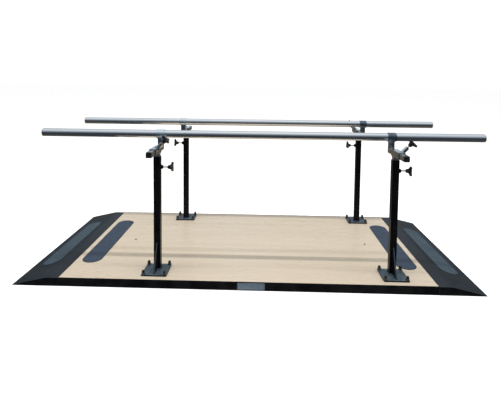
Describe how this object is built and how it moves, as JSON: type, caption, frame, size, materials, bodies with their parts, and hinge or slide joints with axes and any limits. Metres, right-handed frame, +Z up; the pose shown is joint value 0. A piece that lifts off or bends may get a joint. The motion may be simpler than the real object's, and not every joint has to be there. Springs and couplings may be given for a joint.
{
  "type": "rehab walking parallel bars",
  "caption": "Low ramped platform with telescoping uprights carrying round handrails, adjustable in height and width by clamp knobs, for gait training.",
  "frame": {"origin": "centre of the platform's underside, on the floor", "axes": "+X along the handrails, +Y across the platform to the rear handrail, +Z up"},
  "size_m": [2.1848, 1.0051, 0.6965],
  "materials": {
    "deck_laminate": "pale wood-effect laminate, satin",
    "ramp_black": "dark charcoal, satin",
    "edge_black": "black edging, satin",
    "tread_grey": "blue-grey grit, matt",
    "label_blank": "blank satin plate",
    "post_black": "black powder coat, semi-gloss",
    "bracket_chrome": "bright zinc-chrome plate",
    "rail_steel": "polished stainless tube",
    "bolt_dark": "dark zinc",
    "knob_black": "moulded black, steel stud",
    "plug_black": "moulded black",
    "rail_plug_grey": "moulded grey-beige, satin"
  },
  "bodies": {
    "platform": {"deck_board": "deck_laminate", "ramp_left": "ramp_black", "ramp_right": "ramp_black", "edge_trim_front": "edge_black", "edge_trim_rear": "edge_black", "tread_pad_deck_left": "tread_grey", "tread_pad_deck_right": "tread_grey", "tread_pad_ramp_left": "tread_grey", "tread_pad_ramp_right": "tread_grey", "label_plate": "label_blank", "deck_screw_left": "bolt_dark", "deck_screw_right": "bolt_dark", "post_front_left": "post_black", "post_front_right": "post_black", "post_rear_left": "post_black", "post_rear_right": "post_black", "anchor_bolt_front_left_1": "bolt_dark", "anchor_bolt_front_left_2": "bolt_dark", "anchor_bolt_front_left_3": "bolt_dark", "anchor_bolt_front_left_4": "bolt_dark", "anchor_bolt_front_right_1": "bolt_dark", "anchor_bolt_front_right_2": "bolt_dark", "anchor_bolt_front_right_3": "bolt_dark", "anchor_bolt_front_right_4": "bolt_dark", "anchor_bolt_rear_left_1": "bolt_dark", "anchor_bolt_rear_left_2": "bolt_dark", "anchor_bolt_rear_left_3": "bolt_dark", "anchor_bolt_rear_left_4": "bolt_dark", "anchor_bolt_rear_right_1": "bolt_dark", "anchor_bolt_rear_right_2": "bolt_dark", "anchor_bolt_rear_right_3": "bolt_dark", "anchor_bolt_rear_right_4": "bolt_dark"},
    "front_lift": {"inner_post_front_left": "bracket_chrome", "inner_post_front_right": "bracket_chrome"},
    "front_rail": {"arm_front_left": "bracket_chrome", "arm_front_right": "bracket_chrome", "arm_plug_front_left": "plug_black", "arm_plug_front_right": "plug_black", "handrail_front": "rail_steel", "rail_plug_front_left": "rail_plug_grey", "rail_plug_front_right": "rail_plug_grey"},
    "front_left_height_knob": {"height_knob_front_left": "knob_black"},
    "front_left_width_knob": {"width_knob_front_left": "knob_black"},
    "front_right_height_knob": {"height_knob_front_right": "knob_black"},
    "front_right_width_knob": {"width_knob_front_right": "knob_black"},
    "rear_lift": {"inner_post_rear_left": "bracket_chrome", "inner_post_rear_right": "bracket_chrome"},
    "rear_rail": {"arm_rear_left": "bracket_chrome", "arm_rear_right": "bracket_chrome", "arm_plug_rear_left": "plug_black", "arm_plug_rear_right": "plug_black", "handrail_rear": "rail_steel", "rail_plug_rear_left": "rail_plug_grey", "rail_plug_rear_right": "rail_plug_grey"},
    "rear_left_height_knob": {"height_knob_rear_left": "knob_black"},
    "rear_left_width_knob": {"width_knob_rear_left": "knob_black"},
    "rear_right_height_knob": {"height_knob_rear_right": "knob_black"},
    "rear_right_width_knob": {"width_knob_rear_right": "knob_black"}
  },
  "joints": [
    {"name": "front_height_slide", "type": "slide", "parent": "platform", "child": "front_lift", "axis": [0, 0, 1], "range_m": [-0.014, 0.3]},
    {"name": "front_width_slide", "type": "slide", "parent": "front_lift", "child": "front_rail", "axis": [0, 1, 0], "range_m": [-0.036, 0.055]},
    {"name": "front_left_height_knob_turn", "type": "hinge", "parent": "platform", "child": "front_left_height_knob", "pos_m": [-0.3665, -0.342, 0.5285], "axis": [-1, 0, 0], "range_deg": [-30, 900]},
    {"name": "front_left_width_knob_turn", "type": "hinge", "parent": "front_lift", "child": "front_left_width_knob", "pos_m": [-0.3815, -0.397, 0.6565], "axis": [-0.7071, 0, -0.7071], "range_deg": [-30, 900]},
    {"name": "front_right_height_knob_turn", "type": "hinge", "parent": "platform", "child": "front_right_height_knob", "pos_m": [0.7395, -0.342, 0.5285], "axis": [-1, 0, 0], "range_deg": [-30, 900]},
    {"name": "front_right_width_knob_turn", "type": "hinge", "parent": "front_lift", "child": "front_right_width_knob", "pos_m": [0.7245, -0.397, 0.6565], "axis": [-0.7071, 0, -0.7071], "range_deg": [-30, 900]},
    {"name": "rear_height_slide", "type": "slide", "parent": "platform", "child": "rear_lift", "axis": [0, 0, 1], "range_m": [-0.014, 0.3]},
    {"name": "rear_width_slide", "type": "slide", "parent": "rear_lift", "child": "rear_rail", "axis": [0, -1, 0], "range_m": [-0.06, 0.055]},
    {"name": "rear_left_height_knob_turn", "type": "hinge", "parent": "platform", "child": "rear_left_height_knob", "pos_m": [-0.4813, 0.3706, 0.5285], "axis": [1, 0, 0], "range_deg": [-30, 900]},
    {"name": "rear_left_width_knob_turn", "type": "hinge", "parent": "rear_lift", "child": "rear_left_width_knob", "pos_m": [-0.4663, 0.42, 0.6565], "axis": [0.7071, 0, -0.7071], "range_deg": [-30, 900]},
    {"name": "rear_right_height_knob_turn", "type": "hinge", "parent": "platform", "child": "rear_right_height_knob", "pos_m": [0.6143, 0.3706, 0.5285], "axis": [1, 0, 0], "range_deg": [-30, 900]},
    {"name": "rear_right_width_knob_turn", "type": "hinge", "parent": "rear_lift", "child": "rear_right_width_knob", "pos_m": [0.6293, 0.42, 0.6565], "axis": [0.7071, 0, -0.7071], "range_deg": [-30, 900]}
  ]
}
